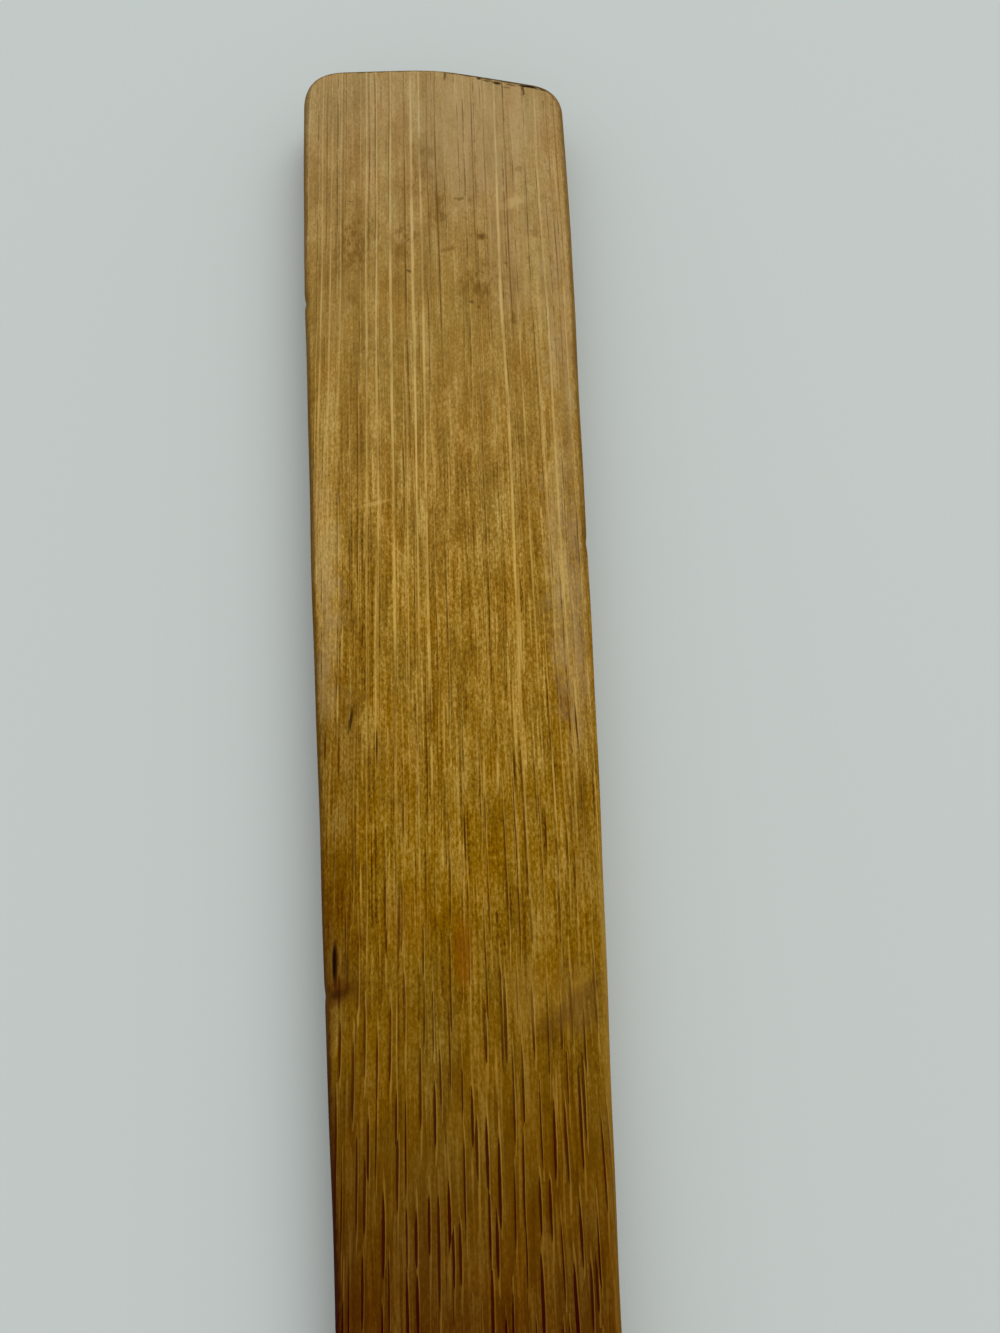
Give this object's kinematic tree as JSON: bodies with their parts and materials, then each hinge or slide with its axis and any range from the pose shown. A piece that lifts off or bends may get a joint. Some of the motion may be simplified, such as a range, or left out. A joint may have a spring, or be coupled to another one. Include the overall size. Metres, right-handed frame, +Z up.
{
  "type": "wok spatula",
  "caption": "One-piece bamboo wok spatula: a flat handle that narrows to a neck and flares into a thin, dished blade with a slanted, rounded tip.",
  "frame": {"origin": "under the middle of the overall box, on the surface that the handle's back rests on", "axes": "+X from the handle's end to the blade's tip, +Y across towards the longer corner of the tip, +Z up out of the food side"},
  "size_m": [0.3548, 0.062, 0.0249],
  "materials": {
    "bamboo": "planed and oiled bamboo, worn to a satin, darker with use towards the blade"
  },
  "bodies": {
    "root": {"spatula": "bamboo"}
  },
  "joints": []
}
